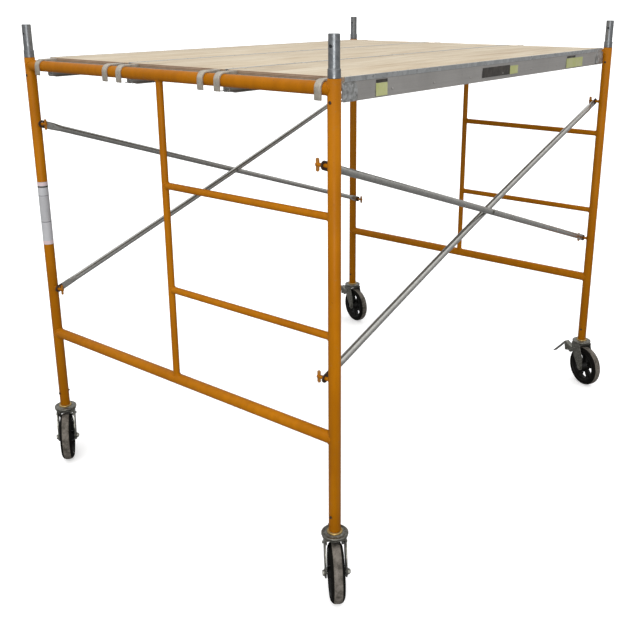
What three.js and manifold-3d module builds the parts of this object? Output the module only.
// Rolling frame scaffold: two welded end frames joined by cross braces, three
// hook-on planks and four braked swivel casters.
// Millimetres, +Z up, floor at Z = 0. +X runs along the planks from end frame a
// to end frame b, and -Y is the front side, where the frames have their rungs.

import * as THREE from 'three';
import { mergeVertices } from 'three/addons/utils/BufferGeometryUtils.js';
import Module from 'manifold-3d';

const wasm = await Module();
wasm.setup();

// ---------------------------------------------------------------- dimensions

const GAP = 0.3;                  // clearance kept between touching pieces

// end frames
const BAY_LENGTH = 2133.6;        // end frame to end frame
const FRAME_WIDTH = 1524;         // leg centre to leg centre
const LEG_RADIUS = 20.65;         // legs, bearer and bottom rail
const LEG_BORE = 18.25;
const RUNG_RADIUS = 12.7;         // rungs and strut
const RUNG_BORE = 10.7;
const LEG_BOTTOM = 240;
const LEG_TOP = 1745;
const BOTTOM_RAIL_Z = 583;
const LOWER_RUNG_Z = 941;
const UPPER_RUNG_Z = 1331;
const BEARER_Z = 1715;

// brace locks
const LOCK_HEIGHTS = [790, 1487];
const STUD_RADIUS = 6.35;
const STUD_REACH = 70;            // stud end, from the leg's axis
const SLOT_START = 36.5;
const SLOT_WIDTH = 5.6;
const PIVOT_REACH = 64;
const PIVOT_RADIUS = 2;
const TOGGLE_UP = 21;
const TOGGLE_DOWN = 22;
const TOGGLE_WIDTH = 12;
const TOGGLE_THICK = 4.8;

// coupling pins
const PIN_RADIUS = 17.45;
const PIN_BORE = 14.8;
const PIN_ABOVE = 125.5;
const PIN_BELOW = 95;
const COLLAR_RADIUS = 19.6;
const COLLAR_HEIGHT = 28;
const PIN_HOLE_DROP = 35;         // cross hole, below the pin's top
const PIN_HOLE_RADIUS = 5.5;
const RIVET_DROP = 68;            // rivet, below the leg's top
const RIVET_RADIUS = 3.2;
const RIVET_HEAD = 5.5;

// cross braces
const BRACE_RADIUS = 12.7;
const BRACE_BORE = 11.1;
const BRACE_REACH = 39;           // eye plane, from the leg's axis
const BRACE_BOW = 13.2;           // each arm bends this far aside at the crossing
const EYE_RADIUS = 15;
const EYE_HOLE = 7.2;
const EYE_THICK = 5;
const FLAT_LENGTH = 42;           // flattened length at each end
const TAPER_LENGTH = 55;          // from flat to round
const BRACE_RIVET_RADIUS = 4.5;
const BRACE_RIVET_HEAD = 8.5;

// planks
const PLANK_PITCH = 492;
const PLANK_WIDTH = 485;
const PLANK_SHIFT = -21;          // middle plank's offset to the front
const RAIL_HEIGHT = 75;
const RAIL_BOTTOM = 1670;
const RAIL_END_INSET = 60;        // rail end, from the bearer's axis
const FLANGE_WIDTH = 33;
const PLYWOOD_THICK = 12.7;
const LIP_HEIGHT = 1.3;            // rail's top edge, above the plywood
const HOOK_INSET = 35;            // hook's middle, from the plank's side
const HOOK_WIDTH = 25;
const HOOK_THICK = 6;
const HOOK_BORE = 21.3;
const HOOK_DROP = 34;             // below the bearer's axis
const END_PLATE_THICK = 4;
const END_PLATE_LOW = 12;         // below the bearer's axis

// casters
const WHEEL_RADIUS = 101.6;
const WHEEL_WIDTH = 48;
const TREAD_WIDTH = 20;
const SHOULDER_WIDTH = 36;
const SHOULDER_DROP = 4;
const SIDEWALL_DROP = 13.6;
const RIM_RADIUS = 80;
const HUB_LENGTH = 60;
const HUB_RADIUS = 24;
const SPOKE_HOLES = 5;
const SPOKE_HOLE_RADIUS = 15;
const SPOKE_HOLE_CENTRE = 50;
const TRAIL = 42;                 // axle, from the swivel axis
const AXLE_RADIUS = 6;
const FORK_INSIDE = 33;
const FORK_OUTSIDE = 38.5;
const FORK_SHOULDER_Z = 204;
const CROWN_TOP = 221;
const CROWN_BOTTOM = 215;
const RACE_BOTTOM = 225;
const RACE_TOP = 232;
const CROWN_RADIUS = 38.5;
const RACE_RADIUS = 46.5;
const SEAT_RADIUS = 26;
const STEM_LENGTH = 100;
const STEM_PIN_RISE = 58;         // cross pin, above the leg's bottom
const KINGPIN_RADIUS = 11;

// brake pedals
const PEDAL_PIVOT_X = -5;
const PEDAL_PIVOT_Z = 190;
const PEDAL_INSIDE = 27.3;
const PEDAL_OUTSIDE = 30.3;
const RIDGE_X = -115;
const RIDGE_Z = 187;
const TIP_X = -205;
const TIP_Z = 96;
const ROOT_X = -50;               // where the foot strip leaves the side arms
const ROOT_Z = 166;
const STRIP_HALF = 13;
const PEDAL_THICK = 3;
const SHOE_GAP = 7;               // shoe to tyre with the brake off
const SHOE_FROM = 2.27;           // the shoe's span on the wheel, radians above +X
const SHOE_TO = 2.43;

const CORNERS = [
  { name: 'a_front', x: -1, y: -1, trailTo: 223.5, wheelTurn: 40 },
  { name: 'a_rear', x: -1, y: 1, trailTo: 231.3, wheelTurn: 15 },
  { name: 'b_front', x: 1, y: -1, trailTo: 242.8, wheelTurn: -14 },
  { name: 'b_rear', x: 1, y: 1, trailTo: 250.3, wheelTurn: 20 },
];

// ------------------------------------------------------------------ materials

function finish(color, roughness, metalness) {
  return new THREE.MeshStandardMaterial({ color, roughness, metalness });
}

const framePaint = finish(0xc8800a, 0.45, 0.0);
const galvanised = finish(0x8f959a, 0.45, 0.8);
const zinc = finish(0x9c9c98, 0.4, 0.8);
const aluminium = finish(0x9a9896, 0.4, 0.8);
const plywood = finish(0xdcc8a4, 0.8, 0.0);
const rubber = finish(0x4a4640, 0.85, 0.0);
const castIron = finish(0x15140f, 0.5, 0.3);

// -------------------------------------------------------------------- helpers

// A closed three.js geometry as a solid, with its doubled vertices merged.
function toSolid(geometry) {
  const bare = geometry.clone();
  bare.deleteAttribute('normal');
  bare.deleteAttribute('uv');
  const merged = mergeVertices(bare, 1e-4);
  const index = merged.index.array;
  const triangles = [];
  for (let i = 0; i < index.length; i += 3) {
    const [p, q, r] = [index[i], index[i + 1], index[i + 2]];
    if (p !== q && q !== r && r !== p) triangles.push(p, q, r);
  }
  return new wasm.Manifold(new wasm.Mesh({
    numProp: 3,
    vertProperties: merged.attributes.position.array,
    triVerts: new Uint32Array(triangles),
  }));
}

function toGeometry(solid) {
  const mesh = solid.getMesh();
  const geometry = new THREE.BufferGeometry();
  geometry.setAttribute('position', new THREE.BufferAttribute(mesh.vertProperties, 3));
  geometry.setIndex(new THREE.BufferAttribute(mesh.triVerts, 1));
  return geometry;
}

function join(...geometries) {
  return geometries.map(toSolid).reduce((whole, piece) => whole.add(piece));
}

function cut(solid, ...geometries) {
  return geometries.map(toSolid).reduce((rest, tool) => rest.subtract(tool), solid);
}

function part(name, solid, material) {
  const mesh = new THREE.Mesh(toGeometry(solid), material);
  mesh.name = name;
  return mesh;
}

// Round bar between two points.
function rod(from, to, radius, sides = 12) {
  const start = new THREE.Vector3(...from);
  const run = new THREE.Vector3(...to).sub(start);
  const bar = new THREE.CylinderGeometry(radius, radius, run.length(), sides);
  const turn = new THREE.Quaternion();
  turn.setFromUnitVectors(new THREE.Vector3(0, 1, 0), run.clone().normalize());
  bar.applyQuaternion(turn);
  bar.translate(...start.addScaledVector(run, 0.5).toArray());
  return bar;
}

function box(low, high) {
  const size = high.map((value, k) => value - low[k]);
  const block = new THREE.BoxGeometry(...size);
  block.translate(...low.map((value, k) => value + size[k] / 2));
  return block;
}

// Solid of revolution about Z from [radius, z] points that close on the axis or themselves.
function lathe(points, sides = 16) {
  const outline = points.map(([radius, z]) => new THREE.Vector2(radius, z));
  const turned = new THREE.LatheGeometry(outline, sides);
  turned.rotateX(Math.PI / 2);
  return turned;
}

// Flat plate with an outline in X and Z, from y = near to y = far.
function plate(shape, near, far, curveSegments = 5) {
  const slab = new THREE.ExtrudeGeometry(shape, {
    depth: far - near,
    bevelEnabled: false,
    curveSegments,
  });
  slab.rotateX(Math.PI / 2);
  slab.translate(0, far, 0);
  return slab;
}

function outline(points) {
  return new THREE.Shape(points.map(([x, z]) => new THREE.Vector2(x, z)));
}

// ------------------------------------------------------------------ end frames

// One welded frame in the plane X = 0: two legs, a bearer, a bottom rail, a
// middle strut, two rungs on the front side and four slotted brace studs.
function endFrame() {
  const half = FRAME_WIDTH / 2;
  const tubes = [];
  const bores = [];
  const addTube = (from, to, radius, bore, sides) => {
    tubes.push(rod(from, to, radius, sides));
    bores.push(rod(from, to, bore, sides));
  };
  for (const y of [-half, half]) {
    tubes.push(rod([0, y, LEG_BOTTOM], [0, y, LEG_TOP], LEG_RADIUS));
    bores.push(rod([0, y, LEG_BOTTOM - 1], [0, y, LEG_TOP + 1], LEG_BORE));
  }
  addTube([0, -half, BEARER_Z], [0, half, BEARER_Z], LEG_RADIUS, LEG_BORE, 12);
  addTube([0, -half, BOTTOM_RAIL_Z], [0, half, BOTTOM_RAIL_Z], LEG_RADIUS, LEG_BORE, 12);
  addTube([0, 0, BOTTOM_RAIL_Z], [0, 0, BEARER_Z], RUNG_RADIUS, RUNG_BORE, 8);
  for (const z of [LOWER_RUNG_Z, UPPER_RUNG_Z]) {
    addTube([0, -half, z], [0, 0, z], RUNG_RADIUS, RUNG_BORE, 8);
  }
  for (const side of [-1, 1]) {
    const leg = side * half;
    for (const z of LOCK_HEIGHTS) {
      tubes.push(rod([0, leg - side * (LEG_BORE + 1), z], [0, leg - side * STUD_REACH, z], STUD_RADIUS, 8));
    }
  }
  let frame = cut(join(...tubes), ...bores);
  for (const side of [-1, 1]) {
    const leg = side * half;
    for (const z of LOCK_HEIGHTS) {
      const ends = [leg - side * SLOT_START, leg - side * (STUD_REACH + 1)].sort((p, q) => p - q);
      const slot = box([-SLOT_WIDTH / 2, ends[0], z - 10], [SLOT_WIDTH / 2, ends[1], z + 10]);
      const pivotY = leg - side * PIVOT_REACH;
      const pivotHole = rod([-10, pivotY, z], [10, pivotY, z], PIVOT_RADIUS + GAP, 6);
      frame = cut(frame, slot, pivotHole);
    }
    for (const z of [LEG_TOP - RIVET_DROP, LEG_BOTTOM + STEM_PIN_RISE]) {
      frame = cut(frame, rod([-30, leg, z], [30, leg, z], RIVET_RADIUS + GAP, 6));
    }
  }
  return frame;
}

// Flip bar on its cross pin, standing upright and so holding the brace on.
function braceToggle() {
  const bend = TOGGLE_WIDTH / 2;
  const bar = new THREE.Shape();
  bar.absarc(0, TOGGLE_UP - bend, bend, 0, Math.PI, false);
  bar.absarc(0, bend - TOGGLE_DOWN, bend, Math.PI, 2 * Math.PI, false);
  bar.closePath();
  const blade = plate(bar, -TOGGLE_THICK / 2, TOGGLE_THICK / 2, 3);
  blade.rotateZ(Math.PI / 2);
  const pin = rod([-STUD_RADIUS - 0.4, 0, 0], [STUD_RADIUS + 0.4, 0, 0], PIVOT_RADIUS, 6);
  return join(blade, pin);
}

// Open tube with a collar that rests on the leg's rim and a rivet through the leg.
function couplingPin() {
  const top = PIN_ABOVE;
  const tube = lathe([
    [PIN_BORE, -PIN_BELOW],
    [PIN_RADIUS, -PIN_BELOW],
    [PIN_RADIUS, GAP],
    [COLLAR_RADIUS, GAP],
    [COLLAR_RADIUS, COLLAR_HEIGHT],
    [PIN_RADIUS, COLLAR_HEIGHT],
    [PIN_RADIUS, top],
    [PIN_BORE, top],
    [PIN_BORE, -PIN_BELOW],
  ], 12);
  const hole = rod([-30, 0, top - PIN_HOLE_DROP], [30, 0, top - PIN_HOLE_DROP], PIN_HOLE_RADIUS, 6);
  const face = LEG_RADIUS + GAP;
  const shank = rod([-face - 1, 0, -RIVET_DROP], [face + 1, 0, -RIVET_DROP], RIVET_RADIUS, 6);
  let pin = cut(toSolid(tube), hole).add(toSolid(shank));
  for (const side of [-1, 1]) {
    const head = rod([side * face, 0, -RIVET_DROP], [side * (face + 3), 0, -RIVET_DROP], RIVET_HEAD, 6);
    pin = pin.add(toSolid(head));
  }
  return pin;
}

// ---------------------------------------------------------------- cross braces

// One arm along X, centred on the crossing: a tube pressed flat at both ends,
// bent aside by `bow` at the middle. `radius` is the round part's radius.
function braceBody(length, radius, flatThick, bow, sides) {
  const stations = [0, FLAT_LENGTH, FLAT_LENGTH + TAPER_LENGTH, length / 4, length / 2];
  const places = [...stations, ...stations.slice(0, -1).reverse().map((s) => length - s)];
  const tube = new THREE.CylinderGeometry(1, 1, places.length - 1, sides, places.length - 1);
  tube.rotateZ(-Math.PI / 2);
  const position = tube.attributes.position;
  for (let i = 0; i < position.count; i += 1) {
    const along = places[Math.round(position.getX(i) + (places.length - 1) / 2)];
    const fromEnd = Math.min(along, length - along);
    const round = THREE.MathUtils.smoothstep(fromEnd, FLAT_LENGTH, FLAT_LENGTH + TAPER_LENGTH);
    const halfThick = THREE.MathUtils.lerp(flatThick / 2, radius, round);
    const halfWide = THREE.MathUtils.lerp(EYE_RADIUS + radius - BRACE_RADIUS, radius, round);
    const aside = bow * Math.sin((Math.PI * along) / length);
    position.setXYZ(
      i,
      along - length / 2,
      position.getY(i) * halfThick + aside,
      position.getZ(i) * halfWide,
    );
  }
  return tube;
}

// The arm with its eyes, stud holes and vent hole. The outer arm carries the
// rivet, on the side it is bent to, and the inner arm has the hole for it.
function braceArm(length, bow, isOuter) {
  const reach = length / 2;
  const half = EYE_THICK / 2;
  const arm = join(
    braceBody(length, BRACE_RADIUS, EYE_THICK, bow, 10),
    rod([-reach, -half, 0], [-reach, half, 0], EYE_RADIUS, 12),
    rod([reach, -half, 0], [reach, half, 0], EYE_RADIUS, 12),
  );
  const hollow = cut(
    arm,
    braceBody(length - 2 * FLAT_LENGTH - 20, BRACE_BORE, 3, bow, 6),
    rod([-reach, -20, 0], [-reach, 20, 0], EYE_HOLE, 8),
    rod([reach, -20, 0], [reach, 20, 0], EYE_HOLE, 8),
    rod([reach - 160, 0, -20], [reach - 160, 0, 0], 3, 6),
  );
  if (!isOuter) {
    return cut(hollow, rod([0, -40, 0], [0, 40, 0], BRACE_RIVET_RADIUS + GAP, 8));
  }
  return hollow.add(braceRivet(Math.sign(bow)));
}

// Rivet through both arms, with its fixed head towards `outward`.
function braceRivet(outward) {
  const face = outward * (BRACE_BOW + BRACE_RADIUS);
  return join(
    rod([0, -face - outward, 0], [0, face + outward, 0], BRACE_RIVET_RADIUS, 8),
    rod([0, face - outward * 0.5, 0], [0, face + outward * 3, 0], BRACE_RIVET_HEAD, 8),
    rod([0, -face - outward * GAP, 0], [0, -face - outward * 3, 0], BRACE_RIVET_HEAD, 8),
  );
}

// ---------------------------------------------------------------------- planks

// Channel rail along X with a raised top band that frames the plywood; the
// plank's outer side is at y = 0 and the plank's inside is towards +Y.
function sideRail(length) {
  const web = 3;
  const seat = RAIL_HEIGHT - PLYWOOD_THICK - LIP_HEIGHT;
  const profile = outline([
    [web, 0], [FLANGE_WIDTH, 0], [FLANGE_WIDTH, web], [2 * web, web],
    [2 * web, seat - web], [FLANGE_WIDTH, seat - web], [FLANGE_WIDTH, seat], [web, seat],
    [web, RAIL_HEIGHT], [0, RAIL_HEIGHT], [0, seat - web], [web, seat - web],
  ]);
  const rail = new THREE.ExtrudeGeometry(profile, { depth: length, bevelEnabled: false });
  rail.rotateX(Math.PI / 2);
  rail.rotateZ(Math.PI / 2);
  rail.translate(-length / 2, 0, 0);
  return rail;
}

// End plate with two hooks over the bearer; the bearer's axis is x = 0, z = 0,
// the plank lies towards +X and is centred on y = 0.
function hookEnd() {
  const outer = HOOK_BORE + HOOK_THICK;
  const plateFar = RAIL_END_INSET - GAP;
  const plateNear = plateFar - END_PLATE_THICK;
  const plateTop = RAIL_BOTTOM + RAIL_HEIGHT - LIP_HEIGHT - PLYWOOD_THICK - BEARER_Z;
  const strap = new THREE.Shape();
  strap.moveTo(plateFar, -END_PLATE_LOW);
  strap.lineTo(plateFar, outer);
  strap.lineTo(0, outer);
  strap.absarc(0, 0, outer, Math.PI / 2, Math.PI, false);
  strap.lineTo(-outer, -HOOK_DROP);
  strap.lineTo(-HOOK_BORE, -HOOK_DROP);
  strap.absarc(0, 0, HOOK_BORE, Math.PI, -Math.asin(END_PLATE_LOW / HOOK_BORE), true);
  strap.lineTo(plateNear, -END_PLATE_LOW);
  strap.closePath();
  const halfWidth = PLANK_WIDTH / 2 - 1;
  let end = toSolid(box(
    [plateNear, -halfWidth, -END_PLATE_LOW],
    [plateFar, halfWidth, plateTop],
  ));
  for (const side of [-1, 1]) {
    const middle = side * (PLANK_WIDTH / 2 - HOOK_INSET);
    end = end.add(toSolid(plate(strap, middle - HOOK_WIDTH / 2, middle + HOOK_WIDTH / 2, 6)));
  }
  return end;
}

// --------------------------------------------------------------------- casters

// Stem, seat ring and upper race, fixed to the leg; Z is measured from the floor.
function casterStem() {
  const seat = LEG_BOTTOM - GAP;
  const body = lathe([
    [0, CROWN_BOTTOM - 6], [KINGPIN_RADIUS, CROWN_BOTTOM - 6], [KINGPIN_RADIUS, CROWN_TOP + 1],
    [RACE_RADIUS - 9, CROWN_TOP + 1], [RACE_RADIUS - 9, RACE_BOTTOM], [RACE_RADIUS, RACE_BOTTOM],
    [RACE_RADIUS, RACE_TOP], [SEAT_RADIUS, RACE_TOP + 1], [SEAT_RADIUS, seat], [PIN_RADIUS, seat],
    [PIN_RADIUS, LEG_BOTTOM + STEM_LENGTH], [0, LEG_BOTTOM + STEM_LENGTH],
  ], 16);
  const pinZ = LEG_BOTTOM + STEM_PIN_RISE;
  return join(
    body,
    rod([-28, 0, pinZ], [28, 0, pinZ], RIVET_RADIUS, 6),
    rod([-24.5, 0, pinZ], [-LEG_RADIUS - GAP, 0, pinZ], RIVET_HEAD, 6),
  );
}

// Pressed fork: round crown and two tapering sides that reach to the axle.
function casterFork() {
  const side = new THREE.Shape();
  const boss = 19;
  side.moveTo(-32, CROWN_TOP);
  side.lineTo(-30, FORK_SHOULDER_Z);
  side.lineTo(-8, 145);
  side.absarc(TRAIL, WHEEL_RADIUS, boss, Math.PI, 2 * Math.PI, false);
  side.lineTo(TRAIL + 15, 145);
  side.lineTo(34, FORK_SHOULDER_Z);
  side.lineTo(32, CROWN_TOP);
  side.closePath();
  const crown = lathe([
    [0, CROWN_BOTTOM], [CROWN_RADIUS, CROWN_BOTTOM], [CROWN_RADIUS, CROWN_TOP], [0, CROWN_TOP],
  ], 16);
  const whole = join(
    crown,
    plate(side, FORK_INSIDE, FORK_OUTSIDE),
    plate(side, -FORK_OUTSIDE, -FORK_INSIDE),
    box([-32, -FORK_OUTSIDE, CROWN_BOTTOM], [32, FORK_OUTSIDE, CROWN_TOP]),
  );
  return cut(
    whole,
    rod([0, 0, CROWN_BOTTOM - 10], [0, 0, CROWN_TOP + 10], KINGPIN_RADIUS + 1, 12),
    rod([TRAIL, -50, WHEEL_RADIUS], [TRAIL, 50, WHEEL_RADIUS], AXLE_RADIUS + GAP, 10),
    rod([PEDAL_PIVOT_X, -50, PEDAL_PIVOT_Z], [PEDAL_PIVOT_X, 50, PEDAL_PIVOT_Z], 4 + GAP, 8),
  );
}

// Tyre about the Z axis, with a flat facet turned down to the floor.
function tyre() {
  const sides = 32;
  const outer = WHEEL_RADIUS / Math.cos(Math.PI / sides);
  const half = WHEEL_WIDTH / 2;
  const tread = TREAD_WIDTH / 2;
  const shoulder = SHOULDER_WIDTH / 2;
  const ring = lathe([
    [RIM_RADIUS, -half], [outer - SIDEWALL_DROP, -half], [outer - SHOULDER_DROP, -shoulder],
    [outer, -tread], [outer, tread], [outer - SHOULDER_DROP, shoulder],
    [outer - SIDEWALL_DROP, half], [RIM_RADIUS, half], [RIM_RADIUS, -half],
  ], sides);
  ring.rotateZ(Math.PI / sides);
  return toSolid(ring);
}

// Cast wheel centre about the Z axis: rim, web with round openings, and hub.
function wheelCentre() {
  const rim = RIM_RADIUS - 0.6;
  const halfRim = WHEEL_WIDTH / 2 - 2;
  const halfHub = HUB_LENGTH / 2;
  let centre = toSolid(lathe([
    [AXLE_RADIUS + GAP, -halfHub], [HUB_RADIUS - 4, -halfHub], [HUB_RADIUS + 2, -7],
    [rim - 9, -6], [rim - 7, -halfRim], [rim, -halfRim], [rim, halfRim], [rim - 7, halfRim],
    [rim - 9, 6], [HUB_RADIUS + 2, 7], [HUB_RADIUS - 4, halfHub], [AXLE_RADIUS + GAP, halfHub],
    [AXLE_RADIUS + GAP, -halfHub],
  ], 16));
  for (let k = 0; k < SPOKE_HOLES; k += 1) {
    const angle = (2 * Math.PI * k) / SPOKE_HOLES;
    const x = SPOKE_HOLE_CENTRE * Math.cos(angle);
    const y = SPOKE_HOLE_CENTRE * Math.sin(angle);
    centre = cut(centre, rod([x, y, -20], [x, y, 20], SPOKE_HOLE_RADIUS, 6));
  }
  return centre;
}

// Hex bolt along Y through the fork, with its nut and thread end.
function axleBolt() {
  const face = FORK_OUTSIDE + GAP;
  return join(
    rod([0, -face - 1, 0], [0, face + 11, 0], AXLE_RADIUS, 8),
    rod([0, -face - 7.5, 0], [0, -face, 0], 10.5, 6),
    rod([0, face, 0], [0, face + 8, 0], 10.5, 6),
  );
}

// Foot pedal: two arms on trunnions inside the fork with a shoe over the tyre,
// and a narrow foot strip that rises to a ridge and slopes down to its tip.
function brakePedal() {
  const [px, pz] = [PEDAL_PIVOT_X, PEDAL_PIVOT_Z];
  const arm = outline([
    [px + 12, pz - 6], [px + 10, pz + 10], [px - 10, pz + 12], [ROOT_X, ROOT_Z],
    [ROOT_X - 11, ROOT_Z - 16], [ROOT_X + 5, ROOT_Z - 16], [px - 9, pz - 22],
  ]);
  const bridge = outline([
    [ROOT_X, ROOT_Z], [ROOT_X - 11, ROOT_Z - 16], [ROOT_X - 8, ROOT_Z - 16], [ROOT_X + 3, ROOT_Z],
  ]);
  const cheek = outline([
    [ROOT_X, ROOT_Z], [RIDGE_X, RIDGE_Z], [RIDGE_X - 3, RIDGE_Z - 6],
    [RIDGE_X + 6, RIDGE_Z - 50], [RIDGE_X + 22, RIDGE_Z - 46], [ROOT_X - 10, ROOT_Z - 16],
  ]);
  const slope = new THREE.Vector2(TIP_X - RIDGE_X, TIP_Z - RIDGE_Z).normalize();
  const under = [-slope.y * PEDAL_THICK, slope.x * PEDAL_THICK];
  const strip = outline([
    [ROOT_X, ROOT_Z], [RIDGE_X, RIDGE_Z], [TIP_X, TIP_Z], [TIP_X + under[0], TIP_Z + under[1]],
    [RIDGE_X + 1, RIDGE_Z - PEDAL_THICK - 1], [ROOT_X, ROOT_Z - PEDAL_THICK],
  ]);
  const shoe = new THREE.Shape();
  const shoeInside = WHEEL_RADIUS + SHOE_GAP;
  shoe.absarc(TRAIL, WHEEL_RADIUS, shoeInside + 4, SHOE_FROM, SHOE_TO, false);
  shoe.absarc(TRAIL, WHEEL_RADIUS, shoeInside, SHOE_TO, SHOE_FROM, true);
  shoe.closePath();
  return join(
    plate(arm, PEDAL_INSIDE, PEDAL_OUTSIDE),
    plate(arm, -PEDAL_OUTSIDE, -PEDAL_INSIDE),
    plate(bridge, -PEDAL_OUTSIDE, PEDAL_OUTSIDE),
    plate(cheek, STRIP_HALF - PEDAL_THICK, STRIP_HALF),
    plate(cheek, -STRIP_HALF, PEDAL_THICK - STRIP_HALF),
    plate(strip, -STRIP_HALF, STRIP_HALF),
    plate(shoe, -PEDAL_OUTSIDE, PEDAL_OUTSIDE, 3),
    rod([px, PEDAL_INSIDE + 1, pz], [px, 43, pz], 4, 8),
    rod([px, -43, pz], [px, -PEDAL_INSIDE - 1, pz], 4, 8),
  );
}

// -------------------------------------------------------------------- assembly

const scaffold = new THREE.Group();
const halfBay = BAY_LENGTH / 2;
const halfWidth = FRAME_WIDTH / 2;

for (const [name, side] of [['a', -1], ['b', 1]]) {
  const frame = part(`end_frame_${name}`, endFrame(), framePaint);
  frame.position.x = side * halfBay;
  scaffold.add(frame);
}

for (const corner of CORNERS) {
  const legX = corner.x * halfBay;
  const legY = corner.y * halfWidth;

  const pin = part(`coupling_pin_${corner.name}`, couplingPin(), galvanised);
  pin.position.set(legX, legY, LEG_TOP);
  scaffold.add(pin);

  LOCK_HEIGHTS.forEach((z, level) => {
    const place = ['lower', 'upper'][level];
    const toggle = part(`brace_toggle_${corner.name}_${place}`, braceToggle(), framePaint);
    toggle.position.set(legX, legY - corner.y * PIVOT_REACH, z);
    scaffold.add(toggle);
  });

  const caster = new THREE.Group();
  caster.position.set(legX, legY, 0);
  caster.rotation.z = THREE.MathUtils.degToRad(corner.trailTo);
  caster.add(part(`caster_fork_${corner.name}`, casterFork(), zinc));
  caster.add(part(`brake_pedal_${corner.name}`, brakePedal(), zinc));

  const bolt = part(`axle_bolt_${corner.name}`, axleBolt(), zinc);
  bolt.position.set(TRAIL, 0, WHEEL_RADIUS);
  caster.add(bolt);

  for (const [piece, solid, material, turn] of [
    ['tyre', tyre(), rubber, 0],
    ['wheel_centre', wheelCentre(), castIron, corner.wheelTurn],
  ]) {
    const wheel = part(`${piece}_${corner.name}`, solid, material);
    wheel.position.set(TRAIL, 0, WHEEL_RADIUS);
    wheel.rotation.set(Math.PI / 2, 0, THREE.MathUtils.degToRad(turn));
    caster.add(wheel);
  }
  scaffold.add(caster);

  const stem = part(`caster_stem_${corner.name}`, casterStem(), zinc);
  stem.position.set(legX, legY, 0);
  scaffold.add(stem);
}

// Two arms on each long side: one falls from frame a to frame b, one rises.
const lockRise = LOCK_HEIGHTS[1] - LOCK_HEIGHTS[0];
const armLength = Math.hypot(BAY_LENGTH, lockRise);
for (const [name, side] of [['front', -1], ['rear', 1]]) {
  for (const [direction, turn] of [['falling', 1], ['rising', -1]]) {
    // the falling arm passes outside the rising one
    const isOuter = direction === 'falling';
    const bow = isOuter ? side * BRACE_BOW : -side * BRACE_BOW;
    const solid = braceArm(armLength, bow, isOuter);
    const arm = part(`brace_arm_${name}_${direction}`, solid, galvanised);
    arm.position.set(0, side * (halfWidth - BRACE_REACH), (LOCK_HEIGHTS[0] + LOCK_HEIGHTS[1]) / 2);
    arm.rotation.y = turn * Math.atan2(lockRise, BAY_LENGTH);
    scaffold.add(arm);
  }
}

const railLength = BAY_LENGTH - 2 * RAIL_END_INSET;
const halfPlank = PLANK_WIDTH / 2;
['front', 'middle', 'rear'].forEach((name, k) => {
  const plankY = PLANK_SHIFT + (k - 1) * PLANK_PITCH;

  for (const [end, side] of [['front', -1], ['rear', 1]]) {
    const rail = part(`plank_${name}_rail_${end}`, toSolid(sideRail(railLength)), aluminium);
    rail.position.set(0, plankY + side * halfPlank, RAIL_BOTTOM);
    rail.rotation.z = side > 0 ? Math.PI : 0;
    scaffold.add(rail);
  }

  const inside = halfPlank - 3 - GAP;
  const seat = RAIL_HEIGHT - PLYWOOD_THICK - LIP_HEIGHT + GAP;
  const deck = part(`plank_${name}_plywood`, toSolid(box(
    [-railLength / 2, plankY - inside, RAIL_BOTTOM + seat],
    [railLength / 2, plankY + inside, RAIL_BOTTOM + seat + PLYWOOD_THICK],
  )), plywood);
  scaffold.add(deck);

  const webInside = halfPlank - 6 - GAP;
  const crossTop = RAIL_BOTTOM + seat - 3 - 2 * GAP;
  const cross = part(`plank_${name}_cross_member`, toSolid(box(
    [-20, plankY - webInside, crossTop - 40],
    [20, plankY + webInside, crossTop],
  )), aluminium);
  scaffold.add(cross);

  for (const [end, side] of [['a', -1], ['b', 1]]) {
    const hooks = part(`plank_${name}_hooks_${end}`, hookEnd(), aluminium);
    hooks.position.set(side * halfBay, plankY, BEARER_Z);
    hooks.rotation.z = side > 0 ? Math.PI : 0;
    scaffold.add(hooks);
  }
});

// The origin is on the floor, under the middle of the whole object.
const extent = new THREE.Box3().setFromObject(scaffold, true);
scaffold.position.x = -(extent.min.x + extent.max.x) / 2;
scaffold.position.y = -(extent.min.y + extent.max.y) / 2;
scaffold.position.z = -extent.min.z;

export default scaffold;
